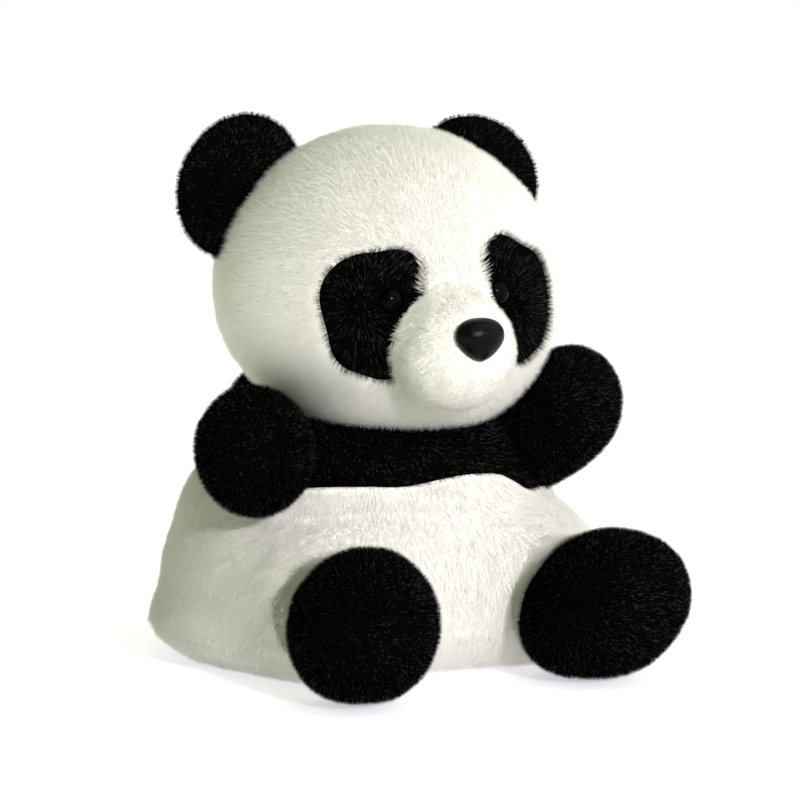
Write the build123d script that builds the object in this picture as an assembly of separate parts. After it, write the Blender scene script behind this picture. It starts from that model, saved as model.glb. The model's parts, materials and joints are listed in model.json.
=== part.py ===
from build123d import *
import os

# A palm-size bean-bag panda that sits on a flat base. Millimetres, +Z up.
# It faces -Y; its own left side is +X. The origin is on the ground, at the
# centre of the flat base panel. A cover is one layer of pile fabric around
# its filling. The torso and the head are modelled round about their own
# centres and then stretched to their true width and depth.

# ---- driving dimensions ----
FABRIC = 2.4            # backing and pressed pile of a cover
GAP = 0.08              # between pieces that lie together in one body
CLEAR = 0.5             # room around pieces that move

BODY_STRETCH = (1.0, 0.88, 1.0)
BODY_R = 50.5           # widest, just above the base
BODY_WIDEST_Z = 13.0
BASE_R = 42.0
SHOULDER_R = 35.0
SHOULDER_Z = 47.5
BODY_TOP = 50.5
BODY_BULGE = 4.0        # how far the side swells out between widest and shoulder
BAND_Z = 42.5           # lower edge of the black chest band
BASE_PANEL_R = 38.0
NECK_AT = (0, -1.0, 57.0)
NECK_R = 13.0

HEAD_AT = (0, -6.5, 88.7)
HEAD_R = 36.0
HEAD_STRETCH = (1.153, 0.917, 1.0)
HEAD_SEAM_Y = 3.0       # plane between the face panel and the back panels, from the head's centre
MUZZLE_AT = (0, -40.5, -13.7)
MUZZLE_R = 13.0
MUZZLE_TURN = 150.0     # keeps the ball's poles away from the edges cut into it

EYE_AT = (13.5, -37.2, 88.7)
EYE_R = 3.2
EYE_BULGE = 2.1
EYE_PATCH_AT = (18.8, 88.5)
EYE_PATCH_R = 10.6
EYE_PATCH_TAIL_AT = (20.5, 78.5)
EYE_PATCH_TAIL_R = 7.6
STEM_R = 1.3
STEM_L = 8.0
WASHER_R = 4.6
WASHER_H = 1.0
WASHER_DEPTH = 3.6      # from the front of the cover to the washer
WASHER_ROOM = 0.25      # along the stem, each side of a washer
FACE_ROOM = 0.4         # around the edge of an eye or the nose
FACE_CUT = 11.0         # depth cleared in front of a seat
STEM_CUT = 22.0         # length cleared for a stem
NOSE_AT = (0, -52.4, 80.4)
NOSE_W = 11.6
NOSE_H = 9.8
NOSE_DEPTH = 4.4
NOSE_WAIST = 0.95       # share of the width kept at half height
NOSE_TIP = 0.6          # how far the lower point hangs below the rest
NOSE_CORNER_R = 1.8
NOSE_EDGE_R = 2.0

EAR_HALF_WIDTH = 15.0
EAR_HEIGHT = 11.5
EAR_HALF_THICK = 2.3
EAR_LEAN = 45.0         # the ear's middle line leans out from +Z
EAR_AT = (33.4, 1.0, 114.0)

ARM_BALL_R = 8.5
ARM_NECK_R = 7.5
ARM_SEAT_R = 13.0
PAW_ROOM = 2.0          # between a paw and the hollow that it presses into the body
ARMS = {
    "left": {"root": (29.0, -7.0, 44.0), "paw": (42.2, -21.0, 56.6), "paw_r": 13.2},
    "right": {"root": (-29.0, -7.0, 44.0), "paw": (-42.0, -24.6, 53.8), "paw_r": 13.8},
}

HIP_AT = (25.5, -33.0, 17.0)
HIP_R = 12.5
HIP_SEAT_R = 14.5
FOOT_AT = (30.8, -57.0, 17.4)
FOOT_R = 16.6
FOOT_STRAIGHT = 2.2     # the foot is this much longer than a ball
THIGH_SLACK = 0.6       # the thigh is this much slimmer than the balls that it joins
ANKLE = 15.0            # from the hip to the seam between thigh and foot

PELLET_AT = (0, 6.0, 14.5)
PELLET_R = 11.0
PELLET_STRETCH = (2.8, 2.0, 1.0)
BAG_WALL = 0.6

TAIL_AT = (0, 44.0, 17.0)
TAIL_R = 8.0
LABEL = (0.5, 9.0, 12.0)
LABEL_AT = (14.0, 47.4, 12.0)

SIDES = {"left": 1, "right": -1}

os.makedirs("parts", exist_ok=True)


def half(axis, at, keep):
    """A large block that holds one side of a plane across an axis."""
    size = 300.0
    middle = at + keep * size / 2
    place = {"x": (middle, 0, 0), "y": (0, middle, 0), "z": (0, 0, middle)}[axis]
    return Pos(*place) * Box(size, size, size)


def stretched(shape, factors, at=(0, 0, 0)):
    """The shape stretched about the origin, then moved so that the origin is at `at`."""
    return Pos(*at) * scale(shape, by=factors, about=(0, 0, 0))


def round_place(point, factors, centre=(0, 0, 0)):
    """Where a true point lies before the stretch."""
    return tuple((p - c) / f for p, c, f in zip(point, centre, factors))


def save(shape, node):
    export_step(Compound(children=list(shape.solids())), f"parts/{node}.step")


def limb_axis(root, tip):
    """A frame at the limb's root whose +Z runs along the limb, and the limb's length."""
    along = Vector(*tip) - Vector(*root)
    return Plane(origin=root, z_dir=along).location, along.length


def rod(radius, length, start=0.0):
    return Pos(0, 0, start) * Cylinder(radius, length, align=(Align.CENTER, Align.CENTER, Align.MIN))


# ---- torso ----

def torso_form(inset=0.0):
    """Round bean-bag body: flat base, widest low down, nearly flat shoulders under the head."""
    base = (BASE_R - inset, inset)
    widest = (BODY_R - inset, BODY_WIDEST_Z)
    shoulder = (SHOULDER_R - inset, SHOULDER_Z - inset / 2)
    top = (0, BODY_TOP - inset)
    low = TangentArc(widest, base, tangent=(0, -1))
    side = SagittaArc(widest, shoulder, -BODY_BULGE)
    cap = Line(shoulder, top)
    outline = [low, side, cap, Line(top, (0, inset)), Line((0, inset), base)]
    return revolve(Plane.XZ * make_face(outline), Axis.Z)


def torso_seats():
    """Pockets for the neck, the arms and the legs, and hollows under the paws, in the round form."""
    grow = 1 / min(BODY_STRETCH)
    seats = [Pos(*round_place(NECK_AT, BODY_STRETCH)) * Sphere((NECK_R + CLEAR) * grow)]
    for arm in ARMS.values():
        seats.append(Pos(*round_place(arm["root"], BODY_STRETCH)) * Sphere(ARM_SEAT_R * grow))
        hollow_r = (arm["paw_r"] + PAW_ROOM) * grow
        seats.append(Pos(*round_place(arm["paw"], BODY_STRETCH)) * Sphere(hollow_r))
    for sign in SIDES.values():
        hip = (sign * HIP_AT[0], HIP_AT[1], HIP_AT[2])
        seats.append(Pos(*round_place(hip, BODY_STRETCH)) * Sphere(HIP_SEAT_R * grow))
    return seats


def pellet_form(inset=0.0):
    return stretched(Sphere(PELLET_R - inset), PELLET_STRETCH, PELLET_AT)


def build_torso():
    seats = torso_seats()
    shell = torso_form() - torso_form(FABRIC) - seats
    upper = shell & half("z", BAND_Z, 1)
    skirt = (shell & half("z", BAND_Z, -1)) - rod(BASE_PANEL_R + GAP, FABRIC + GAP)
    back = skirt & half("y", 0, 1)
    base = Ellipse(BASE_PANEL_R * BODY_STRETCH[0], BASE_PANEL_R * BODY_STRETCH[1])
    save(extrude(base, FABRIC), "base_panel")
    pieces = {
        "belly_panel": skirt & half("y", 0, -1),
        "back_panel_left": back & half("x", 0, 1),
        "back_panel_right": back & half("x", 0, -1),
        "chest_band": upper & half("y", 0, -1),
        "shoulder_yoke": upper & half("y", 0, 1),
    }
    pocket_stretch = (PELLET_STRETCH[0], PELLET_STRETCH[1] / BODY_STRETCH[1], 1)
    pocket = stretched(Sphere(PELLET_R + GAP), pocket_stretch, round_place(PELLET_AT, BODY_STRETCH))
    pieces["torso_stuffing"] = torso_form(FABRIC + GAP) - seats - pocket
    for node, piece in pieces.items():
        save(stretched(piece, BODY_STRETCH), node)
    save(pellet_form() - pellet_form(BAG_WALL), "pellet_bag")
    save(pellet_form(BAG_WALL + GAP), "pellet_fill")


def build_tail_and_label():
    outer = Sphere(TAIL_R) - Sphere(TAIL_R - FABRIC)
    behind = half("y", BODY_R * BODY_STRETCH[1] + GAP, 1)
    save(Pos(*TAIL_AT) * outer & behind, "tail_cover")
    save(Pos(*TAIL_AT) * Sphere(TAIL_R - FABRIC - GAP) & behind, "tail_stuffing")
    save(Pos(*LABEL_AT) * Box(*LABEL), "care_label")


# ---- neck and head ----

def build_neck():
    save(Pos(*NECK_AT) * Sphere(NECK_R), "neck_stuffing")


def bore(at, radius, length):
    """A cylinder along Y with its middle at a true point, in the round form."""
    bar = Cylinder(radius / HEAD_STRETCH[1], length / HEAD_STRETCH[1], rotation=(90, 0, 0))
    return Pos(*round_place(at, HEAD_STRETCH, HEAD_AT)) * bar


def patch_prism(sign):
    """The drooping teardrop outline of an eye patch, through the front of the head."""
    middle = HEAD_AT[1] - HEAD_R / 2
    bulb = bore((sign * EYE_PATCH_AT[0], middle, EYE_PATCH_AT[1]), EYE_PATCH_R, HEAD_R)
    tail = bore((sign * EYE_PATCH_TAIL_AT[0], middle, EYE_PATCH_TAIL_AT[1]), EYE_PATCH_TAIL_R, HEAD_R)
    return bulb + tail


def fastener_cuts(at, face_r):
    """Room for a stem, for its washer, and for the face that the stem carries."""
    seat = (at[0], at[1] + WASHER_DEPTH, at[2])
    front = (at[0], at[1] - FACE_CUT / 2, at[2])
    return [bore(seat, STEM_R + GAP, STEM_CUT), bore(seat, WASHER_R + GAP, WASHER_H + 2 * WASHER_ROOM),
            bore(front, face_r, FACE_CUT)]


def muzzle_ball(inset=0.0):
    return Pos(*MUZZLE_AT) * Rot(MUZZLE_TURN, 0, 0) * Sphere(MUZZLE_R - inset)


def build_head():
    grow = 1 / min(HEAD_STRETCH)
    neck = Pos(*round_place(NECK_AT, HEAD_STRETCH, HEAD_AT)) * Sphere((NECK_R + CLEAR) * grow)
    eye_cuts = []
    for sign in SIDES.values():
        eye_cuts += fastener_cuts((sign * EYE_AT[0], EYE_AT[1], EYE_AT[2]), EYE_R + FACE_ROOM)
    nose_cuts = fastener_cuts(NOSE_AT, NOSE_W / 2 + FACE_ROOM)
    nose_stem_cut = nose_cuts[0]
    shell = Sphere(HEAD_R) - Sphere(HEAD_R - FABRIC) - neck
    face = shell & half("y", HEAD_SEAM_Y, -1)
    back = shell & half("y", HEAD_SEAM_Y, 1)
    pieces = {
        "head_back_left": back & half("x", 0, 1),
        "head_back_right": back & half("x", 0, -1),
    }
    for side, sign in SIDES.items():
        prism = patch_prism(sign)
        pieces[f"eye_patch_{side}"] = (face & prism) - eye_cuts
        face = face - prism
    pieces["face_panel"] = face - nose_stem_cut
    pieces["head_stuffing"] = Sphere(HEAD_R - FABRIC - GAP) - neck - eye_cuts - nose_stem_cut
    head = Sphere(HEAD_R + GAP)
    pieces["muzzle_cover"] = muzzle_ball() - head - muzzle_ball(FABRIC) - nose_cuts
    pieces["muzzle_stuffing"] = muzzle_ball(FABRIC + GAP) - head - nose_cuts
    for node, piece in pieces.items():
        save(stretched(piece, HEAD_STRETCH, HEAD_AT), node)


def washer(at):
    disc = Cylinder(WASHER_R, WASHER_H, rotation=(90, 0, 0))
    hole = Cylinder(STEM_R, 2 * WASHER_H, rotation=(90, 0, 0))
    return Pos(at[0], at[1] + WASHER_DEPTH, at[2]) * (disc - hole)


def stem():
    return Pos(0, STEM_L / 2, 0) * Cylinder(STEM_R, STEM_L, rotation=(90, 0, 0))


def build_eyes():
    ball_r = (EYE_R ** 2 + EYE_BULGE ** 2) / (2 * EYE_BULGE)
    dome = Pos(0, ball_r - EYE_BULGE, 0) * Sphere(ball_r) & half("y", 0, -1)
    eye = dome + stem()
    for side, sign in SIDES.items():
        at = (sign * EYE_AT[0], EYE_AT[1], EYE_AT[2])
        save(Pos(*at) * eye, f"eye_{side}")
        save(washer(at), f"eye_washer_{side}")


def build_nose():
    """A rounded triangle, wide above and narrow below, with a domed front and a stem."""
    half_w, half_h = NOSE_W / 2, NOSE_H / 2
    with BuildSketch(Plane.XZ) as outline:
        with BuildLine():
            Polyline((-half_w, half_h), (half_w, half_h), (half_w * NOSE_WAIST, 0),
                     (0, -half_h - NOSE_TIP), (-half_w * NOSE_WAIST, 0), close=True)
        make_face()
        fillet(outline.vertices(), NOSE_CORNER_R)
    block = extrude(outline.sketch, NOSE_DEPTH)
    front = block.faces().sort_by(Axis.Y)[0]
    domed = fillet(front.edges(), NOSE_EDGE_R)
    save(Pos(*NOSE_AT) * (domed + stem()), "nose")
    save(washer(NOSE_AT), "nose_washer")


def build_ears():
    """Thin half ovals, two layers of fabric each, with a rolled lower edge."""
    oval = Plane.XZ * Ellipse(EAR_HALF_WIDTH, EAR_HEIGHT)
    disc = extrude(oval, EAR_HALF_THICK, both=True) & half("z", 0, 1)
    edge = Cylinder(EAR_HALF_THICK, 2 * (EAR_HALF_WIDTH - EAR_HALF_THICK), rotation=(0, 90, 0))
    form = disc + edge
    for side, sign in SIDES.items():
        place = Pos(sign * EAR_AT[0], EAR_AT[1], EAR_AT[2]) * Rot(0, sign * EAR_LEAN, 0)
        save(place * (form & half("y", -GAP / 2, -1)), f"ear_front_{side}")
        save(place * (form & half("y", GAP / 2, 1)), f"ear_back_{side}")


# ---- arms and legs ----

def build_arms():
    for side, arm in ARMS.items():
        place, length = limb_axis(arm["root"], arm["paw"])
        paw = Pos(0, 0, length)

        def form(inset, paw=paw, length=length, arm=arm):
            link = rod(ARM_NECK_R - inset, length)
            return Sphere(ARM_BALL_R - inset) + link + paw * Sphere(arm["paw_r"] - inset)

        save(place * (form(0) - form(FABRIC)), f"arm_cover_{side}")
        save(place * form(FABRIC + GAP), f"arm_stuffing_{side}")


def leg_form(length, inset=0.0):
    """Hip ball, widening thigh and a foot a little longer than a ball."""
    slim = inset + THIGH_SLACK
    thigh = Pos(0, 0, length / 2) * Cone(HIP_R - slim, FOOT_R - slim, length)
    foot = Pos(0, 0, length) * Sphere(FOOT_R - inset) + rod(FOOT_R - inset, FOOT_STRAIGHT, length)
    toe = Pos(0, 0, length + FOOT_STRAIGHT) * Sphere(FOOT_R - inset)
    return Sphere(HIP_R - inset) + thigh + foot + toe


def build_legs():
    for side, sign in SIDES.items():
        hip = (sign * HIP_AT[0], HIP_AT[1], HIP_AT[2])
        foot = (sign * FOOT_AT[0], FOOT_AT[1], FOOT_AT[2])
        place, length = limb_axis(hip, foot)
        shell = leg_form(length) - leg_form(length, FABRIC)
        save(place * (shell & half("z", ANKLE, -1)), f"thigh_cover_{side}")
        save(place * (shell & half("z", ANKLE, 1)), f"foot_cover_{side}")
        save(place * leg_form(length, FABRIC + GAP), f"leg_stuffing_{side}")


for build in (build_torso, build_tail_and_label, build_neck, build_head, build_eyes,
              build_nose, build_ears, build_arms, build_legs):
    build()
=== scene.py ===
import json
import math
from collections import namedtuple

import bmesh
import bpy
import numpy as np
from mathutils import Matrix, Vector

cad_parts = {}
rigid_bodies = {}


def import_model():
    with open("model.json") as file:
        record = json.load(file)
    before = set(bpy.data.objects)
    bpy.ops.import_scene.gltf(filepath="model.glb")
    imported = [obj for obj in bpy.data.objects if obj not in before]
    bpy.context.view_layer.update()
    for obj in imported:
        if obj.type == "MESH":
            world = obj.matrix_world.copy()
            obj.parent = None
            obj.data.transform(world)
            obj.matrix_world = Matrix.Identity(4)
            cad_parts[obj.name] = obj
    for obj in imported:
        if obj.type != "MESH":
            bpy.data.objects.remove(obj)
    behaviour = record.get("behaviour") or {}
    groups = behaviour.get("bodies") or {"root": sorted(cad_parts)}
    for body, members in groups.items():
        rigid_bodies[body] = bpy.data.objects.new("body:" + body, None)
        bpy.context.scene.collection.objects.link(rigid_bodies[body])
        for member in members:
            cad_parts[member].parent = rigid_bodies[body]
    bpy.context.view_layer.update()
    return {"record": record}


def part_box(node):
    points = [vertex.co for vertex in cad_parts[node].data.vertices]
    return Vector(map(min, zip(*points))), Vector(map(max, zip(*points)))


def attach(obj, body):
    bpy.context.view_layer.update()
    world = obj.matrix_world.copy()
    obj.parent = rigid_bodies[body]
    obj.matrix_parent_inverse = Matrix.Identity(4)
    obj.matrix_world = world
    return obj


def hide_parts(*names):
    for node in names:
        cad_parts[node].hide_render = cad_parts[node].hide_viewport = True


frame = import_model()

# A seated plush panda. Shapes are worked out in millimetres in the part's
# frame (it faces -Y, its left is +X) and become metres when a mesh is made.
MM = 0.001
SIDES = {"left": 1, "right": -1}


# ---- places and sizes that the shapes share ----

EYES = {"left": np.array((13.2, -38.6, 88.6)), "right": np.array((-13.8, -37.9, 88.0))}
NOSE_AT = np.array((-0.3, -54.2, 81.0))
NOSE_HALF = {"wide": 5.95, "deep": 4.2, "up": 4.1, "down": 5.9}
CREASE_Z, CREASE_HALF, CREASE_DEPTH = 38.5, 1.6, 0.9      # the soft fold across the belly
TORSO_LIFT, LEG_LIFT = 0.4, 1.0         # how far the flat undersides of the forms lie above the ground
BAND_Z = 45.1           # the lower edge of the chest band
TAIL_AT = (0, 46.5, 17.0)
FOOT = {"left": (31.0, -56.6, 17.3), "right": (-31.4, -57.4, 17.8)}
FOOT_RADII = {"left": (20.7, 19.6, 16.8), "right": (16.8, 19.6, 17.9)}
FOOT_TURN = {"left": (0, -27, -28), "right": (0, 30, -28)}
FOOT_SEAM = {"left": (0.34, -0.90, -0.24), "right": (-0.34, -0.94, 0.0)}
FOOT_SEAM_AT = {"left": (29.2, -44.2, 17.5), "right": (-29.8, -49.8, 17.0)}
ARM = {
    "right": {"root": (-29, -7, 49), "root_r": 12.0, "elbow": (-36.5, -15, 53), "elbow_r": 11.8,
              "paw": (-42.9, -25.6, 54.1), "paw_radii": (13.6, 13.4, 15.4), "turn": (10, -8, -20)},
    "left": {"root": (29, -7, 49), "root_r": 12.0, "elbow": (35.0, -15, 50), "elbow_r": 11.8,
             "paw": (41.9, -21.2, 58.5), "paw_radii": (13.3, 12.6, 15.4), "turn": (0, 30, 12)},
}
EAR_LEAN, EAR_YAW = 36, 8       # degrees outward from upright, and turned to the side
EAR = {
    "left": {"at": np.array((25.7, -5.0, 112.1)), "radii": (16.3, 3.7, 14.6)},
    "right": {"at": np.array((-33.5, 0.3, 112.2)), "radii": (17.7, 3.7, 16.0)},
}
HEAD_AT, HEAD_RADII = (0.8, -7.0, 89.2), (41.7, 32.8, 36.0)
JOWLS_AT, JOWLS_RADII = (4.8, -9.6, 78.4), (33.4, 29.6, 23.9)
MUZZLE_AT, MUZZLE_RADII = (0, -41.6, 76.2), (14.6, 13.2, 13.6)
BRIDGE = {"low": (0, -41.0, 79.0), "high": (0, -34.0, 90.0), "low_r": 7.6, "high_r": 5.0}
TORSO = (   # eggs from the seat to the shoulders: centre, radii, how softly it joins those before it
    ((-0.3, 0, 11.0), (53.6, 45.6, 16.5), 0),
    ((-0.2, 0, 24), (49.8, 41.8, 19.0), 8),
    ((0, 1, 36), (44.6, 37.0, 22.0), 8),
    ((0, -4, 51), (34.0, 26.0, 12.0), 8),
    ((34.6, -19, 19), (15.6, 16.0, 14.6), 9),
)
TORSO_PAIRS = (     # the same on each side, for X outward: a shoulder and a hip
    ((22.5, 6, 57), (11.5, 11.5, 13.0), 7),
    ((26, -29, 16), (18.0, 17.0, 16.0), 10),
)
THIGH_AT, THIGH_RADII, THIGH_TURN = (27, -36, 17.4), (15.4, 18.0, 13.8), 28
HEAD_SEAM_Y = 3.0       # between the face and the back of the head
SEAM_SHIFT = 0.01       # keeps a seam's plane off the mesh's own points
BASE_HALF = (38.0, 33.4)        # half the width and depth of the base panel
BASE_HIGH = 8           # the base panel lies below this height
PATCH = {   # circles in X and Z whose union is an eye patch: X, Z, radius
    "left": ((21.1, 88.0, 10.7), (22.5, 81.6, 9.1), (15.5, 94.9, 6.9), (21.2, 74.5, 2.3)),
    "right": ((17.9, 88.6, 10.3), (17.7, 78.9, 7.9), (11.5, 94.4, 5.2), (14.0, 73.0, 3.4)),
}


# ---- shape functions: distance to a form, negative inside ----

def rotation(degrees):
    """The matrix of turns about X, then Y, then Z."""
    x, y, z = np.radians(degrees)
    rx = np.array([[1, 0, 0], [0, math.cos(x), -math.sin(x)], [0, math.sin(x), math.cos(x)]])
    ry = np.array([[math.cos(y), 0, math.sin(y)], [0, 1, 0], [-math.sin(y), 0, math.cos(y)]])
    rz = np.array([[math.cos(z), -math.sin(z), 0], [math.sin(z), math.cos(z), 0], [0, 0, 1]])
    return rz @ ry @ rx


def egg(p, at, radii, turn=(0, 0, 0)):
    """Distance to an ellipsoid."""
    q = (p - np.array(at, float)) @ rotation(turn)
    radii = np.array(radii, float)
    near = np.linalg.norm(q / radii, axis=-1)
    return near * (near - 1) / np.maximum(np.linalg.norm(q / radii**2, axis=-1), 1e-9)


def capsule(p, a, b, ra, rb):
    """Distance to a rounded rod whose radius goes from ra to rb."""
    a, b = np.array(a, float), np.array(b, float)
    t = np.clip((p - a) @ (b - a) / ((b - a) @ (b - a)), 0, 1)
    return np.linalg.norm(p - a - t[..., None] * (b - a), axis=-1) - (ra + (rb - ra) * t)


def joined(a, b, soft):
    """Both forms, with a soft inner corner."""
    h = np.clip(0.5 + 0.5 * (b - a) / soft, 0, 1)
    return b + (a - b) * h - soft * h * (1 - h)


def within(a, b, soft):
    """What both forms share, with a rounded edge."""
    return -joined(-a, -b, soft)


def waves(p, size, seed):
    """A smooth random field of about -1 to 1, with swells of the given size."""
    draw = np.random.default_rng(seed)
    turns = draw.normal(size=(3, 9)) * (2 * math.pi / size) * 0.6
    return np.sin(p @ turns + draw.uniform(0, 2 * math.pi, 9)).sum(-1) / 4.5


def uneven(p, depth, size, seed):
    """Lumps of stuffing, up to about depth high."""
    return depth * waves(p, size, seed)


def mirrored(at, s):
    """A place given for X outward, on side s of the toy."""
    return (s * at[0], *at[1:])


def head_ball(p):
    """The head without its muzzle, wider at the jowls."""
    ball, jowls = egg(p, HEAD_AT, HEAD_RADII), egg(p, JOWLS_AT, JOWLS_RADII, (0, 4, 0))
    return joined(ball, jowls, 8) + uneven(p, depth=0.35, size=26, seed=3)


def muzzle_form(p):
    ball = egg(p, MUZZLE_AT, MUZZLE_RADII)
    bridge = capsule(p, BRIDGE["low"], BRIDGE["high"], BRIDGE["low_r"], BRIDGE["high_r"])
    return joined(ball, bridge, 6)


def head_form(p):
    return joined(head_ball(p), muzzle_form(p), 2.6)


def torso_form(p):
    f = egg(p, *TORSO[0][:2])
    for at, radii, soft in TORSO[1:]:
        f = joined(f, egg(p, at, radii), soft)
    for s in SIDES.values():
        for at, radii, soft in TORSO_PAIRS:
            f = joined(f, egg(p, mirrored(at, s), radii), soft)
    crease = np.exp(-((p[..., 2] - CREASE_Z) / CREASE_HALF) ** 2) * np.clip(-p[..., 1] / 25, 0, 1)
    f = f + CREASE_DEPTH * crease + uneven(p, depth=0.45, size=24, seed=5)
    return within(f, TORSO_LIFT - p[..., 2], 4)


def leg_form(p, side):
    s = SIDES[side]
    foot = egg(p, FOOT[side], FOOT_RADII[side], FOOT_TURN[side])
    thigh = egg(p, mirrored(THIGH_AT, s), THIGH_RADII, (0, 0, s * THIGH_TURN))
    return within(joined(foot, thigh, 5) + uneven(p, depth=0.25, size=15, seed=8), LEG_LIFT - p[..., 2], 3)


def arm_form(p, side):
    arm = ARM[side]
    limb = capsule(p, arm["root"], arm["elbow"], arm["root_r"], arm["elbow_r"])
    paw = egg(p, arm["paw"], arm["paw_radii"], arm["turn"])
    return joined(limb, paw, 6) + uneven(p, depth=0.2, size=14, seed=9)


def ear_form(p, side):
    """A thin oval pad that leans outward."""
    return egg(p, EAR[side]["at"], EAR[side]["radii"], ear_turn(side))


def ear_turn(side):
    return (0, SIDES[side] * EAR_LEAN, -SIDES[side] * EAR_YAW)


def nose_form(p):
    """A domed button, flat-topped and narrowing to a blunt point below: zero on its surface."""
    x, y, z = np.moveaxis(p - NOSE_AT, -1, 0)
    roundness = 1.92 + 0.33 * np.tanh(z / 1.5)
    high = np.where(z > 0, z / NOSE_HALF["up"], -z / NOSE_HALF["down"])
    face = (np.abs(x / NOSE_HALF["wide"]) ** roundness + high ** roundness) ** (2 / roundness)
    return face + (y / NOSE_HALF["deep"]) ** 2 - 1


def tail_form(p):
    return joined(egg(p, TAIL_AT, (7.6, 6.6, 7.2)), egg(p, (0, 41.5, 17), (8.6, 4.0, 8.2)), 3)


# ---- meshes ----

def ico(level):
    bm = bmesh.new()
    bmesh.ops.create_icosphere(bm, subdivisions=level, radius=1.0)
    points = np.array([v.co for v in bm.verts], float)
    faces = np.array([[v.index for v in f.verts] for f in bm.faces])
    bm.free()
    return points, faces


def in_four(faces):
    """Each triangle in four. Returns the new faces and the pairs that the new points lie between."""
    edges = np.concatenate([faces[:, [0, 1]], faces[:, [1, 2]], faces[:, [2, 0]]])
    pairs, back = np.unique(np.sort(edges, axis=1), axis=0, return_inverse=True)
    ab, bc, ca = back.reshape(3, -1) + faces.max() + 1
    a, b, c = faces.T
    corners = ((a, ab, ca), (ab, b, bc), (ca, bc, c), (ab, bc, ca))
    return np.concatenate([np.stack(t, 1) for t in corners]), pairs


def surface(form, centre, reach, rays):
    """Where rays from inside a form leave it."""
    low, high = np.zeros(len(rays)), np.full(len(rays), float(reach))
    for _ in range(24):
        mid = (low + high) / 2
        inside = form(centre + rays * mid[:, None]) < 0
        low = np.where(inside, mid, low)
        high = np.where(inside, high, mid)
    return centre + rays * low[:, None]


def normals_of(points, faces):
    a, b, c = (points[faces[:, i]] for i in range(3))
    n = np.cross(b - a, c - a)
    out = np.zeros_like(points)
    for i in range(3):
        np.add.at(out, faces[:, i], n)
    return out / np.maximum(np.linalg.norm(out, axis=1, keepdims=True), 1e-12)


def make_object(name, points, faces, materials, slots=None, normals=None, scale=MM):
    me = bpy.data.meshes.new(name)
    me.vertices.add(len(points))
    me.vertices.foreach_set("co", np.ascontiguousarray(points * scale, np.float32).ravel())
    me.loops.add(faces.size)
    me.loops.foreach_set("vertex_index", np.ascontiguousarray(faces, np.int32).ravel())
    me.polygons.add(len(faces))
    me.polygons.foreach_set("loop_start", np.arange(0, faces.size, faces.shape[1], dtype=np.int32))
    me.polygons.foreach_set("use_smooth", np.ones(len(faces), bool))
    for mat in materials:
        me.materials.append(mat)
    if slots is not None:
        me.polygons.foreach_set("material_index", np.ascontiguousarray(slots, np.int32))
    me.update(calc_edges=True)
    if normals is not None:
        me.normals_split_custom_set_from_vertices(np.ascontiguousarray(normals, np.float32))
    ob = bpy.data.objects.new(name, me)
    bpy.context.scene.collection.objects.link(ob)
    return ob


SIM_SCALE = 10 * MM     # the cloth is simulated ten times as large as it is
SIM_FRAMES = 20
SKIN_LEVEL = 4          # of the icosphere that a cover starts from
PUFF_CAP = 1.3          # the furthest that the filling may push a cover out
SEAM_HALF = 1.6         # points this near a seam are held by it


def plumped(points, faces, held):
    """Fills a closed cover by cloth simulation, with its seams held. Returns how far each point moved."""
    scene = bpy.context.scene
    ob = make_object("filling_test", points, faces, [], scale=SIM_SCALE)
    ob.vertex_groups.new(name="held").add([int(i) for i in np.flatnonzero(held)], 1.0, "REPLACE")
    cloth = ob.modifiers.new("cloth", "CLOTH")
    cloth.settings.quality = 5
    cloth.settings.mass = 0.3
    cloth.settings.tension_stiffness = 15
    cloth.settings.compression_stiffness = 15
    cloth.settings.bending_stiffness = 0.5
    cloth.settings.use_pressure = True
    cloth.settings.uniform_pressure_force = 4
    cloth.settings.vertex_group_mass = "held"
    cloth.settings.effector_weights.gravity = 0
    cloth.point_cache.frame_start, cloth.point_cache.frame_end = 1, SIM_FRAMES
    for frame_number in range(1, SIM_FRAMES + 1):
        scene.frame_set(frame_number)
    made = ob.evaluated_get(bpy.context.evaluated_depsgraph_get())
    moved = np.empty(3 * len(points), np.float32)
    made.data.vertices.foreach_get("co", moved)
    moved = moved.reshape(-1, 3) / SIM_SCALE - points
    mesh = ob.data
    bpy.data.objects.remove(ob)
    bpy.data.meshes.remove(mesh)
    scene.frame_set(1)
    far = np.linalg.norm(moved, axis=1, keepdims=True)
    return moved * np.minimum(1, PUFF_CAP / np.maximum(far, 1e-9))


def skin(form, centre, reach, seam=None, stretch=(1, 1, 1), turn=(0, 0, 0), sink=0.6):
    """A stuffed cover: a form's surface, sunk a little, then filled out between its seams."""
    centre = np.array(centre, float)
    rays, faces = ico(SKIN_LEVEL)
    rays = (rays * np.array(stretch, float)) @ rotation(turn).T
    rays /= np.linalg.norm(rays, axis=1, keepdims=True)
    coarse = surface(form, centre, reach, rays)
    held = np.abs(seam(coarse)) < SEAM_HALF if seam else np.zeros(len(coarse), bool)
    push = plumped(coarse, faces, held) - sink * normals_of(coarse, faces)
    faces, pairs = in_four(faces)
    rays = np.concatenate([rays, rays[pairs].mean(1)])
    rays /= np.linalg.norm(rays, axis=1, keepdims=True)
    push = np.concatenate([push, push[pairs].mean(1)])
    return surface(form, centre, reach, rays) + push, faces


ON_EDGE = 1e-4          # a point nearer to a cut than this counts as beside it


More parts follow.
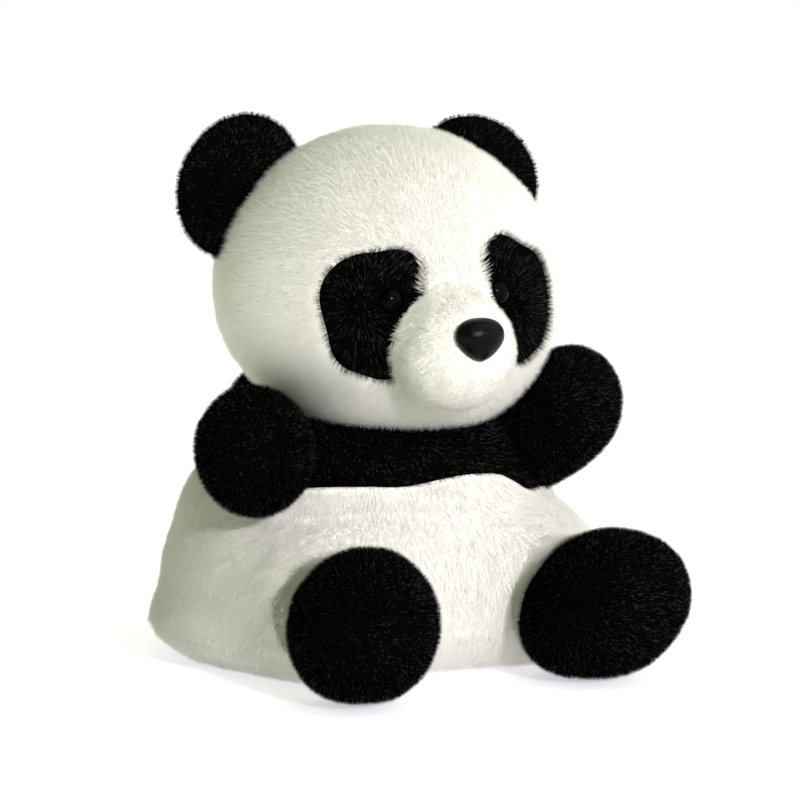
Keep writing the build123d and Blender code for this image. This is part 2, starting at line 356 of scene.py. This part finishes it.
def divide(points, faces, tags, field):
    """Cuts triangles where a field is zero.

    Returns the points, the faces, their tags, and which faces are on the field's positive side.
    """
    v = field(points)
    v = np.where(np.abs(v) < ON_EDGE, ON_EDGE, v)
    pts, cut = list(points), {}

    def crossing(i, j):
        key = (min(i, j), max(i, j))
        if key not in cut:
            t = v[key[0]] / (v[key[0]] - v[key[1]])
            cut[key] = len(pts)
            pts.append(points[key[0]] * (1 - t) + points[key[1]] * t)
        return cut[key]

    positive = v[faces] > 0
    mixed = positive.any(1) & ~positive.all(1)
    new, new_side, new_tags = [], [], []
    for tri, pos, tag in zip(faces[mixed], positive[mixed], tags[mixed]):
        lone = int(np.argmax(pos)) if pos.sum() == 1 else int(np.argmin(pos))
        a, b, c = tri[lone], tri[(lone + 1) % 3], tri[(lone + 2) % 3]
        ab, ac = crossing(a, b), crossing(a, c)
        new += [(a, ab, ac), (ab, b, c), (ab, c, ac)]
        new_side += [bool(pos[lone]), not pos[lone], not pos[lone]]
        new_tags += [tag] * 3
    side = positive[~mixed][:, 0]
    kept, kept_tags = faces[~mixed], tags[~mixed]
    if new:
        kept = np.concatenate([kept, np.array(new)])
        side = np.concatenate([side, np.array(new_side)])
        kept_tags = np.concatenate([kept_tags, np.array(new_tags)])
    return np.array(pts), kept, kept_tags, side


PANEL_THICK = 0.7


def panel_mesh(points, faces):
    """One fabric panel as a closed sheet: the outer layer, an inner layer and a wall along the edge."""
    used, back = np.unique(faces, return_inverse=True)
    outer = points[used]
    tri = back.reshape(faces.shape)
    inner = outer - normals_of(outer, tri) * PANEL_THICK
    count = len(outer)
    edges = np.concatenate([tri[:, [0, 1]], tri[:, [1, 2]], tri[:, [2, 0]]])
    key = edges[:, 0] * (count + 1) + edges[:, 1]
    reverse = edges[:, 1] * (count + 1) + edges[:, 0]
    rim = edges[~np.isin(key, reverse)]
    wall = np.concatenate([
        np.stack([rim[:, 1], rim[:, 0], rim[:, 0] + count], 1),
        np.stack([rim[:, 1], rim[:, 0] + count, rim[:, 1] + count], 1)])
    return np.concatenate([outer, inner]), np.concatenate([tri, tri[:, ::-1] + count, wall])


# What a pile fabric's fibres are like: their materials and the odds of each, how many grow on a
# square millimetre, how long they are, how many degrees they lean, their radius at the root, and how
# much their direction varies in swirls (ruffle), from one to the next (spread) and in lean (wobble).
Pile = namedtuple("Pile", "shades odds density length lean width ruffle spread wobble",
                  defaults=(0.3, 0.3, 8))


ROOT_DEPTH = 0.35       # fibres start this far below the surface of the fabric
FLOOR_GAP = 0.03        # no fibre reaches below this height
LEAN_LIMITS = (0.02, 1.35)      # radians
SIZE_RANGE = (0.7, 1.12)        # of the pile's length
WIDTH_RANGE = (0.75, 1.25)      # of the pile's width
ROUNDING = 0.18         # how far a fibre's shading normals turn away from the fabric's


def scattered(points, faces, density, draw):
    """Random places on a mesh, with its normals there."""
    a, b, c = (points[faces[:, i]] for i in range(3))
    area = np.linalg.norm(np.cross(b - a, c - a), axis=1) / 2
    count = int(area.sum() * density)
    pick = np.searchsorted(np.cumsum(area), draw.uniform(0, area.sum(), count)).clip(0, len(faces) - 1)
    u, w = draw.uniform(size=(2, count))
    flip = u + w > 1
    u, w = np.where(flip, 1 - u, u)[:, None], np.where(flip, 1 - w, w)[:, None]
    root = a[pick] * (1 - u - w) + b[pick] * u + c[pick] * w
    vn = normals_of(points, faces)
    n = vn[faces[pick, 0]] * (1 - u - w) + vn[faces[pick, 1]] * u + vn[faces[pick, 2]] * w
    return root, n / np.linalg.norm(n, axis=1, keepdims=True)


def pile_mesh(points, faces, pile, comb, seed, keep=None, shorter=None):
    """The fibres of a panel: closed tapered spikes, combed along a direction field."""
    draw = np.random.default_rng(seed)
    root, n = scattered(points, faces, pile.density, draw)
    if keep is not None:
        kept = keep(root)
        root, n = root[kept], n[kept]
    count = len(root)
    flow = comb(root) + pile.ruffle * np.stack([waves(root, 8, seed + k) for k in (1, 2, 3)], 1)
    flow = flow + pile.spread * draw.normal(size=(count, 3))
    flow -= n * (flow * n).sum(1, keepdims=True)
    flow /= np.maximum(np.linalg.norm(flow, axis=1, keepdims=True), 1e-6)
    angle = np.radians(pile.lean + pile.wobble * (waves(root, 5, seed + 4) + draw.normal(size=count)))
    angle = angle.clip(*LEAN_LIMITS)[:, None]
    way = n * np.cos(angle) + flow * np.sin(angle)
    size = pile.length * draw.uniform(*SIZE_RANGE, count)
    if shorter is not None:
        size = size * shorter(root)
    side = np.cross(way, n + 0.3 * draw.normal(size=(count, 3)))
    side /= np.maximum(np.linalg.norm(side, axis=1, keepdims=True), 1e-6)
    up = np.cross(way, side)
    base = root - n * ROOT_DEPTH
    thick = pile.width * draw.uniform(*WIDTH_RANGE, (count, 1))
    turns = [2 * math.pi * k / 3 for k in range(3)]
    ring = [side * math.cos(t) + up * math.sin(t) for t in turns]
    corners = [base + thick * r for r in ring] + [base + way * (size + ROOT_DEPTH)[:, None]]
    pts = np.stack(corners, 1).reshape(-1, 3)
    pts[:, 2] = np.maximum(pts[:, 2], FLOOR_GAP)
    start = np.arange(count)[:, None, None] * 4
    tris = (start + np.array([[0, 1, 3], [1, 2, 3], [2, 0, 3], [2, 1, 0]])).reshape(-1, 3)
    shade = np.repeat(draw.choice(len(pile.shades), size=count, p=pile.odds), 4)
    soft = [n + ROUNDING * r for r in ring] + [n + 0.2 * way]
    vnorm = np.stack(soft, 1).reshape(-1, 3)
    return pts, tris, shade, vnorm / np.linalg.norm(vnorm, axis=1, keepdims=True)


# ---- materials ----

def principled(name):
    mat = bpy.data.materials.new(name)
    mat.use_nodes = True
    return mat, mat.node_tree, mat.node_tree.nodes["Principled BSDF"]


def add_node(nt, kind, **inputs):
    made = nt.nodes.new(kind)
    for key, value in inputs.items():
        made.inputs[key.replace("_", " ")].default_value = value
    return made


def fibre_material(name, colour, rough, sheen, specular):
    mat, _, bsdf = principled(name)
    bsdf.inputs["Base Color"].default_value = (*colour, 1)
    bsdf.inputs["Roughness"].default_value = rough
    bsdf.inputs["Sheen Weight"].default_value = sheen
    bsdf.inputs["Sheen Roughness"].default_value = 0.5
    bsdf.inputs["Specular IOR Level"].default_value = specular
    return mat


def textured(name, dark, light, colour_scale, bump_scale, bump, rough, specular=0.2, kind="noise"):
    """A surface with slow colour variation and a fine relief of noise, beads or weave.

    The scales are per metre and bump is the relief's height in metres.
    """
    mat, nt, bsdf = principled(name)
    place = nt.nodes.new("ShaderNodeTexCoord")
    slow = add_node(nt, "ShaderNodeTexNoise", Scale=colour_scale, Detail=4.0)
    nt.links.new(place.outputs["Object"], slow.inputs["Vector"])
    mix = nt.nodes.new("ShaderNodeMix")
    mix.data_type = "RGBA"
    mix.inputs[6].default_value = (*dark, 1)
    mix.inputs[7].default_value = (*light, 1)
    nt.links.new(slow.outputs["Fac"], mix.inputs[0])
    nt.links.new(mix.outputs[2], bsdf.inputs["Base Color"])
    relief = add_node(nt, "ShaderNodeBump", Strength=1.0, Distance=bump)
    if kind == "noise":
        fine = add_node(nt, "ShaderNodeTexNoise", Scale=bump_scale, Detail=3.0)
        nt.links.new(place.outputs["Object"], fine.inputs["Vector"])
        nt.links.new(fine.outputs["Fac"], relief.inputs["Height"])
    elif kind == "beads":
        fine = add_node(nt, "ShaderNodeTexVoronoi", Scale=bump_scale)
        nt.links.new(place.outputs["Object"], fine.inputs["Vector"])
        nt.links.new(fine.outputs["Distance"], relief.inputs["Height"])
    else:
        heights = []
        for direction in ("X", "Z"):
            thread = add_node(nt, "ShaderNodeTexWave", Scale=bump_scale, Distortion=0.6, Detail=1.0)
            thread.bands_direction = direction
            nt.links.new(place.outputs["Object"], thread.inputs["Vector"])
            heights.append(thread.outputs["Fac"])
        weave = nt.nodes.new("ShaderNodeMath")
        weave.operation = "MULTIPLY"
        nt.links.new(heights[0], weave.inputs[0])
        nt.links.new(heights[1], weave.inputs[1])
        nt.links.new(weave.outputs[0], relief.inputs["Height"])
    nt.links.new(relief.outputs["Normal"], bsdf.inputs["Normal"])
    bsdf.inputs["Roughness"].default_value = rough
    bsdf.inputs["Specular IOR Level"].default_value = specular
    return mat


WHITE = (0.90, 0.895, 0.81)
CREAM = (0.92, 0.905, 0.82)
BLACK = (0.0023, 0.0024, 0.0022)
FULL_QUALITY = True
FINE = 1.0 if FULL_QUALITY else 0.2
STOUT = 1.0 if FULL_QUALITY else 2.0        # and how much thicker they are


def shades(name, colour, tones, rough, sheen, specular):
    """One fibre material for each tone, a factor on the colour."""
    return [fibre_material(f"{name}_{i}", tuple(c * k for c in colour), rough, sheen, specular)
            for i, k in enumerate(tones)]


WHITE_FIBRES = shades("white_fibre", WHITE, (1.0, 0.985, 1.015, 0.96), 0.85, 0.12, 0.05)
CREAM_FIBRES = shades("cream_fibre", CREAM, (1.0, 0.97, 1.02, 0.93), 0.85, 0.1, 0.08)
BLACK_FIBRES = shades("black_fibre", BLACK, (1.0, 0.6, 1.6), 0.85, 0.0, 0.01)
# About one black fibre in twelve (the last of BLACK_ODDS) gets a colour thirteen times as light: a painted
# glint. These fibres also have real gloss, from lower roughness and more specular.
BLACK_FIBRES += shades("black_painted_glint", BLACK, (13.0,), 0.45, 0.0, 0.2)
WHITE_ODDS, BLACK_ODDS = (0.3, 0.3, 0.25, 0.15), (0.40, 0.32, 0.2, 0.08)
LONG_WHITE = Pile(WHITE_FIBRES, WHITE_ODDS, 12 * FINE, 2.7, 55, 0.07 * STOUT,
                  ruffle=0.12, spread=0.16, wobble=4)
CHEEK_WHITE = Pile(WHITE_FIBRES, WHITE_ODDS, 12 * FINE, 2.9, 53, 0.07 * STOUT,
                   ruffle=0.14, spread=0.2, wobble=5)
SHORT_CREAM = Pile(CREAM_FIBRES, WHITE_ODDS, 13 * FINE, 1.3, 34, 0.085 * STOUT,
                   ruffle=1.4, spread=0.7, wobble=14)
BASE_NAP = Pile(WHITE_FIBRES, WHITE_ODDS, 3 * FINE, 0.5, 70, 0.1 * STOUT)
SOFT_BLACK = Pile(BLACK_FIBRES, BLACK_ODDS, 12 * FINE, 1.4, 28, 0.055 * STOUT, wobble=12)
PATCH_BLACK = Pile(BLACK_FIBRES, BLACK_ODDS, 14 * FINE, 2.1, 40, 0.055 * STOUT, wobble=12)
LONG_BLACK = Pile(BLACK_FIBRES, BLACK_ODDS, 10 * FINE, 1.8, 34, 0.06 * STOUT, wobble=10)
WHITE_BACK = textured("white_backing", (0.84, 0.84, 0.76), (0.9, 0.895, 0.81), 90, 2600, 0.0002, 0.95, 0.05)
BLACK_BACK = textured("black_backing", (0.0008, 0.0008, 0.0008), (0.0016, 0.0016, 0.0014),
                      90, 2600, 0.0002, 0.95, 0.0)


# ---- covers and their pile ----

MOST_FIBRES = 45000     # a larger pile is made as several pieces
HEAD_SEED, TORSO_SEED, LEG_SEED, ARM_SEED, EAR_SEED, TAIL_SEED = 100, 300, 500, 700, 800, 950


def dress(node_name, body, points, faces, pile, comb, seed, keep=None, shorter=None):
    """A cover that stands for a node, and the pile that grows on it."""
    cover_points, cover_faces = panel_mesh(points, faces)
    backing = BLACK_BACK if pile.shades is BLACK_FIBRES else WHITE_BACK
    cover = make_object(node_name + "_cover", cover_points, cover_faces, [backing])
    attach(cover, body)
    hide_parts(node_name)
    pts, tris, shade, vnorm = pile_mesh(points, faces, pile, comb, seed, keep, shorter)
    count = len(pts) // 4
    parts = -(-count // MOST_FIBRES)
    for k in range(parts):
        first, last = 4 * (count * k // parts), 4 * (count * (k + 1) // parts)
        piece = make_object(f"{node_name}_pile_{k + 1}", pts[first:last], tris[first:last] - first,
                            pile.shades, shade[first:last], vnorm[first:last])
        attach(piece, body)


def droop(p):
    """Straight down everywhere."""
    return np.tile((0.0, 0.0, -1.0), (len(p), 1))


def head_comb(p):
    """Away from the nose, over the brow and down the cheeks."""
    away = p - np.array((0, -50.0, 84.0))
    away /= np.linalg.norm(away, axis=1, keepdims=True)
    return away + np.array((0, 0, -0.25))


def muzzle_field(p):
    """Positive on the short-piled muzzle, which reaches up between the eyes."""
    return head_ball(p) - muzzle_form(p) - 0.2


BEHIND = -20            # a patch's field on the back of the head
PATCH_MIDDLE = (19, -32.0, 85.5)        # for X outward


def patch_field(side):
    """Positive inside an eye patch."""
    def field(p):
        x, z = SIDES[side] * p[:, 0], p[:, 2]
        blobs = [np.hypot(x - cx, z - cz) - r for cx, cz, r in PATCH[side]]
        shape = joined(joined(joined(blobs[0], blobs[1], 5), blobs[2], 3), blobs[3], 3)
        return np.where(p[:, 1] < 0, -shape, BEHIND)
    return field


def patch_comb(side):
    """Outward from the middle of an eye patch, so that it ends in a soft fringe."""
    return lambda p: p - np.array(mirrored(PATCH_MIDDLE, SIDES[side]))


NO_SEAM = 99            # stands for a seam that is far away
EYE_CLEAR, NOSE_CLEAR = 3.0, 4.6        # no fibre grows this near to the middle of an eye or the nose


def clear_of_face(p):
    """Whether a fibre may grow at each point."""
    far = np.ones(len(p), bool)
    for eye in EYES.values():
        far &= np.linalg.norm(p - eye, axis=1) > EYE_CLEAR
    return far & (np.linalg.norm((p - NOSE_AT) / np.array((1.1, 1.0, 1.0)), axis=1) > NOSE_CLEAR)


def near_face(p):
    """What is left of each fibre's length, which is clipped short beside the eyes and the nose."""
    spots = [*EYES.values(), NOSE_AT]
    gap = np.min([np.linalg.norm(p - spot, axis=1) for spot in spots], axis=0)
    return np.clip((gap - 2.0) / 5.0, 0.3, 1.0)


def head_seam(p):
    """Distance to the seam round the head and the one down its back."""
    behind = np.where(p[:, 1] > HEAD_SEAM_Y, np.abs(p[:, 0]), NO_SEAM)
    return np.minimum(np.abs(p[:, 1] - HEAD_SEAM_Y), behind)


def build_head():
    points, faces = skin(head_form, (0, -9, 86), 70, head_seam)
    tags = np.zeros(len(faces), int)
    fields = (muzzle_field, patch_field("left"), patch_field("right"), lambda p: p[:, 1] - HEAD_SEAM_Y)
    for k, field in enumerate(fields):
        points, faces, tags, inside = divide(points, faces, tags, field)
        tags = np.where(inside & (tags == 0), k + 1, tags)
    points, faces, tags, inside = divide(points, faces, tags, lambda p: p[:, 0])
    tags = np.where((tags == 4) & inside, 5, tags)
    rows = (("face_panel", CHEEK_WHITE, "white_plush", head_comb),
            ("muzzle_cover", SHORT_CREAM, "muzzle_plush", head_comb),
            ("eye_patch_left", PATCH_BLACK, "black_plush", patch_comb("left")),
            ("eye_patch_right", PATCH_BLACK, "black_plush", patch_comb("right")),
            ("head_back_right", CHEEK_WHITE, "white_plush", head_comb),
            ("head_back_left", CHEEK_WHITE, "white_plush", head_comb))
    for tag, (name, pile, slot, comb) in enumerate(rows):
        dress(name, "head", points, faces[tags == tag], pile, comb, HEAD_SEED + 10 * tag,
              clear_of_face, near_face)


def band_edge(p):
    """Positive above the wavy lower edge of the chest band, which dips under the arms in front."""
    out = np.abs(p[:, 0] - 2)
    front = np.clip(-p[:, 1] / 8, 0, 1)
    left_dip = 4.2 * np.clip((out - 18) / 9, 0, 1) * np.clip((42 - out) / 8, 0, 1)
    right_dip = np.clip(0.12 * (out - 17), 0, 3)
    dip = front * np.where(p[:, 0] > 0, left_dip, right_dip)
    return p[:, 2] - BAND_Z - 0.8 * np.sin(p[:, 0] / 6.0) + dip


def base_rim(p):
    """Positive on the base panel, an oval on the underside."""
    oval = 1 - np.hypot(p[:, 0] / BASE_HALF[0], p[:, 1] / BASE_HALF[1])
    return np.where(p[:, 2] < BASE_HIGH, oval, -1)


def torso_seam(p):
    """Distance, roughly, to the seam under the band and to the one round the base panel."""
    return np.minimum(np.abs(band_edge(p)), 30 * np.abs(base_rim(p)))


def build_torso():
    points, faces = skin(torso_form, (0, 0, 26), 90, torso_seam)
    tags = np.zeros(len(faces), int)
    points, faces, tags, inside = divide(points, faces, tags, band_edge)
    tags = np.where(inside, 1, 0)
    points, faces, tags, inside = divide(points, faces, tags, lambda p: p[:, 1] - SEAM_SHIFT)
    tags = np.where(inside, tags + 2, tags)
    points, faces, tags, inside = divide(points, faces, tags, lambda p: p[:, 0] - SEAM_SHIFT)
    tags = np.where(inside & (tags == 2), 4, tags)
    points, faces, tags, inside = divide(points, faces, tags, base_rim)
    tags = np.where(inside, 5, tags)
    rows = (("belly_panel", LONG_WHITE, "white_plush"), ("chest_band", LONG_BLACK, "black_plush"),
            ("back_panel_right", LONG_WHITE, "white_plush"), ("shoulder_yoke", LONG_BLACK, "black_plush"),
            ("back_panel_left", LONG_WHITE, "white_plush"), ("base_panel", BASE_NAP, "white_plush"))
    for tag, (name, pile, slot) in enumerate(rows):
        dress(name, "torso", points, faces[tags == tag], pile, droop, TORSO_SEED + 10 * tag)


FLARE = 0.02            # how much a limb's pile is combed outward, for each millimetre from its middle


def build_legs():
    for k, (side, s) in enumerate(SIDES.items()):
        form = lambda p: leg_form(p, side)
        axis = np.array(FOOT_SEAM[side])
        seam = lambda p: (p - np.array(FOOT_SEAM_AT[side])) @ axis + uneven(p, depth=0.5, size=9, seed=7)
        points, faces = skin(form, (s * 29.5, -46, 17), 60, seam, stretch=(1, 1.5, 1), turn=(0, 0, s * 20))
        points, faces, _, front = divide(points, faces, np.zeros(len(faces), int), seam)
        comb = lambda p: np.tile(axis, (len(p), 1)) + (p - np.array((s * 30, -50, 17))) * FLARE
        rows = ((f"foot_cover_{side}", front, SOFT_BLACK, "black_plush"),
                (f"thigh_cover_{side}", ~front, LONG_WHITE, "white_plush"))
        for j, (name, pick, pile, slot) in enumerate(rows):
            dress(name, f"leg_{side}", points, faces[pick], pile, comb, LEG_SEED + 40 * k + 10 * j)


def build_arms():
    for k, side in enumerate(SIDES):
        arm = ARM[side]
        points, faces = skin(lambda p: arm_form(p, side), arm["elbow"], 60)
        way = np.array(arm["paw"], float) - np.array(arm["root"], float)
        way /= np.linalg.norm(way)
        comb = lambda p: np.tile(way, (len(p), 1)) + (p - np.array(arm["paw"])) * FLARE
        dress(f"arm_cover_{side}", f"arm_{side}", points, faces, SOFT_BLACK, comb, ARM_SEED + 40 * k)


EAR_ROOT_DEPTH = 3.0    # the ears reach this far into the head's cover


def build_ears():
    for k, side in enumerate(SIDES):
        centre, turn = EAR[side]["at"], rotation(ear_turn(side))
        facing, upward = turn @ np.array((0, 1.0, 0)), turn @ np.array((0, 0, 1.0))
        points, faces = skin(lambda p: ear_form(p, side), centre, 40,
                             stretch=(4, 1, 4), turn=ear_turn(side), sink=0)
        none = np.zeros(len(faces), int)
        points, faces, _, outside = divide(points, faces, none, lambda p: head_ball(p) + EAR_ROOT_DEPTH)
        faces = faces[outside]
        points, faces, _, behind = divide(points, faces, none[:len(faces)], lambda p: (p - centre) @ facing)
        comb = lambda p: p - centre + 3 * upward
        for j, (half, pick) in enumerate((("front", ~behind), ("back", behind))):
            dress(f"ear_{half}_{side}", f"ear_{side}", points, faces[pick], SOFT_BLACK, comb,
                  EAR_SEED + 40 * k + 10 * j)


def build_tail():
    points, faces = skin(tail_form, (0, 44, 17), 30)
    comb = lambda p: p - np.array((0, 40.0, 22.0))
    dress("tail_cover", "torso", points, faces, LONG_WHITE, comb, TAIL_SEED)


# ---- trims and inner pieces ----

def build_nose():
    points, faces = ico(6)
    rays = points * np.array((1.0, 1.0, 0.9))
    rays /= np.linalg.norm(rays, axis=1, keepdims=True)
    satin = textured("nose_plastic", (0.0008, 0.0009, 0.001), (0.0013, 0.0014, 0.0016),
                     300, 2600, 0.00008, 0.2, 0.08)
    nose = make_object("nose_button", surface(nose_form, NOSE_AT, 9, rays), faces, [satin])
    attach(nose, "head")
    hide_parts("nose")


EYE_RADIUS, EYE_DEPTH = 2.9, 0.75       # in millimetres, and as a share of the radius
EYE_BACK = np.array((0, 0.4, 0))        # from the middle of the dome to its flat back


def build_eyes():
    """A polished dome with a flat back."""
    glossy = textured("eye_plastic", (0.0002, 0.0002, 0.0002), (0.0004, 0.0004, 0.0004),
                      200, 900, 0.000001, 0.06, 0.04)
    for side, eye in EYES.items():
        points, faces = ico(5)
        points = points * np.array((1, EYE_DEPTH, 1)) * EYE_RADIUS
        points[:, 1] = np.minimum(points[:, 1], EYE_BACK[1])
        piece = make_object(f"eye_button_{side}", points + eye + EYE_BACK, faces, [glossy])
        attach(piece, "head")
        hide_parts(f"eye_{side}")


LABEL_STEPS, LABEL_LEVELS = 24, 9       # points along a leaf, and across the tape
LEAF_GAP, LEAF_BULGE = 0.22, 0.5        # from the middle to a leaf's root, and how much more at its widest
TAPE_INSIDE = np.array((0.55, 0.985))   # the tape's inner face as a share of its outer one


def build_label():
    """A loop of tape sewn in at the back: two leaves and a rounded fold."""
    low, high = (np.array(c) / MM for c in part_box("care_label"))
    middle, half = (low + high) / 2, (high - low) / 2
    across = np.linspace(-half[2], half[2], LABEL_LEVELS)
    outline = []
    for leaf in (1, -1):
        for t in np.linspace(0, 1, LABEL_STEPS):
            reach = -half[1] + 2 * half[1] * (t if leaf == 1 else 1 - t)
            way = min(1, (reach + half[1]) / (2 * half[1]))
            outline.append((leaf * (LEAF_GAP + LEAF_BULGE * math.sin(math.pi * way) ** 0.5), reach))
    outline = np.array(outline)
    rings = [np.column_stack([ring, np.full(len(ring), z)]) for ring in (outline, outline * TAPE_INSIDE)
             for z in across]
    points = np.concatenate(rings) + middle
    count, levels = len(outline), len(across)
    faces = []
    for shell in (0, 1):
        for j in range(levels - 1):
            for i in range(count - 1):
                a = shell * levels * count + j * count + i
                quad = (a, a + 1, a + 1 + count, a + count)
                faces.append(quad if shell == 0 else quad[::-1])
    for j in (0, levels - 1):
        for i in range(count - 1):
            a, b = j * count + i, levels * count + j * count + i
            quad = (a, b, b + 1, a + 1)
            faces.append(quad if j == 0 else quad[::-1])
    for j in range(levels - 1):
        for i in (0, count - 1):
            a, b = j * count + i, levels * count + j * count + i
            quad = (a, a + count, b + count, b)
            faces.append(quad if i == 0 else quad[::-1])
    tape = textured("label_tape", (0.82, 0.82, 0.8), (0.9, 0.9, 0.88), 120, 900, 0.00004, 0.6, 0.3, "weave")
    label = make_object("care_label_tape", points, np.array(faces), [tape])
    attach(label, "torso")
    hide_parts("care_label")


def dress_inner_pieces():
    """Materials for the nodes that stay as they are, inside the covers."""
    fill = textured("fibre_filling", (0.8, 0.8, 0.79), (0.93, 0.93, 0.92), 220, 900, 0.0006, 0.95)
    washer = textured("washer_plastic", (0.8, 0.8, 0.78), (0.88, 0.88, 0.86), 150, 1500, 0.00002, 0.4, 0.5)
    beads = textured("pellets", (0.84, 0.84, 0.82), (0.93, 0.93, 0.91), 300, 420, 0.0009, 0.35, 0.5, "beads")
    lining = textured("lining", (0.82, 0.82, 0.82), (0.92, 0.92, 0.92), 120, 700, 0.00008, 0.9, 0.1, "weave")
    looks = {"fibre_filling": fill, "washer_plastic": washer, "pellets": beads, "lining": lining}
    for part in frame["record"]["subparts"]:
        look = looks.get(part["material_slot"])
        if look:
            materials = bpy.data.objects[part["node"]].data.materials
            materials.clear()
            materials.append(look)


build_head()
build_torso()
build_legs()
build_arms()
build_ears()
build_tail()
build_nose()
build_eyes()
build_label()
dress_inner_pieces()


# ---- room, light and camera ----

AMBIENT = (0.26, 0.38, 0.125)   # light from all round, as the toy sees it
FLOOR_GLOW = 0.6                # keeps the floor white and its shadows faint
KEY_COLOUR = (0.96, 0.87, 1.0)


def build_room():
    bpy.ops.mesh.primitive_plane_add(size=6.0, location=(0, 0, 0))
    floor = bpy.context.object
    floor.name = "floor"
    mat, _, bsdf = principled("floor_paper")
    bsdf.inputs["Base Color"].default_value = (0.7, 0.7, 0.7, 1)
    bsdf.inputs["Roughness"].default_value = 0.95
    bsdf.inputs["Emission Color"].default_value = (0.96, 0.93, 1.0, 1)
    bsdf.inputs["Emission Strength"].default_value = FLOOR_GLOW
    floor.data.materials.append(mat)


AIM = Vector((0, -0.01, 0.06))


def add_sun(name, towards, power, angle, colour):
    data = bpy.data.lights.new(name, "SUN")
    data.energy = power
    data.angle = math.radians(angle)
    data.color = colour
    ob = bpy.data.objects.new(name, data)
    ob.rotation_euler = Vector(towards).to_track_quat("Z", "Y").to_euler()
    ob.location = AIM + Vector(towards).normalized()
    bpy.context.scene.collection.objects.link(ob)


def build_light():
    """A white backdrop for the camera, a greenish ambient light for the toy, and three suns."""
    world = bpy.data.worlds.new("studio")
    bpy.context.scene.world = world
    world.use_nodes = True
    nt = world.node_tree
    nt.nodes["Background"].inputs["Color"].default_value = (*AMBIENT, 1)
    seen = add_node(nt, "ShaderNodeBackground", Color=(1, 1, 1, 1), Strength=1.0)
    rays = nt.nodes.new("ShaderNodeLightPath")
    either = nt.nodes.new("ShaderNodeMixShader")
    nt.links.new(rays.outputs["Is Camera Ray"], either.inputs[0])
    nt.links.new(nt.nodes["Background"].outputs[0], either.inputs[1])
    nt.links.new(seen.outputs[0], either.inputs[2])
    nt.links.new(either.outputs[0], nt.nodes["World Output"].inputs["Surface"])
    add_sun("soft_key", (0.42, -0.74, 0.52), 2.65, 105, KEY_COLOUR)
    add_sun("flash", (-0.06, -0.93, 0.32), 2.5, 5, KEY_COLOUR)
    add_sun("back_fill", (0.3, 0.85, 0.45), 1.1, 80, (1.0, 0.91, 1.0))


CAMERA_LOOK = Vector((0.00353, -0.00888, 0.0611))
CAMERA_BACK = Vector((-0.4657, -0.8758, 0.1271))
CAMERA_DISTANCE = 0.9
FRAME_WIDTH = 0.1888    # width of the view at the distance of the toy


def build_camera():
    data = bpy.data.cameras.new("camera")
    data.lens = data.sensor_width * CAMERA_DISTANCE / FRAME_WIDTH
    ob = bpy.data.objects.new("camera", data)
    ob.location = CAMERA_LOOK + CAMERA_BACK.normalized() * CAMERA_DISTANCE
    ob.rotation_euler = (-CAMERA_BACK).to_track_quat("-Z", "Y").to_euler()
    bpy.context.scene.collection.objects.link(ob)
    bpy.context.scene.camera = ob


build_room()
build_light()
build_camera()
bpy.context.scene.view_settings.view_transform = "Standard"
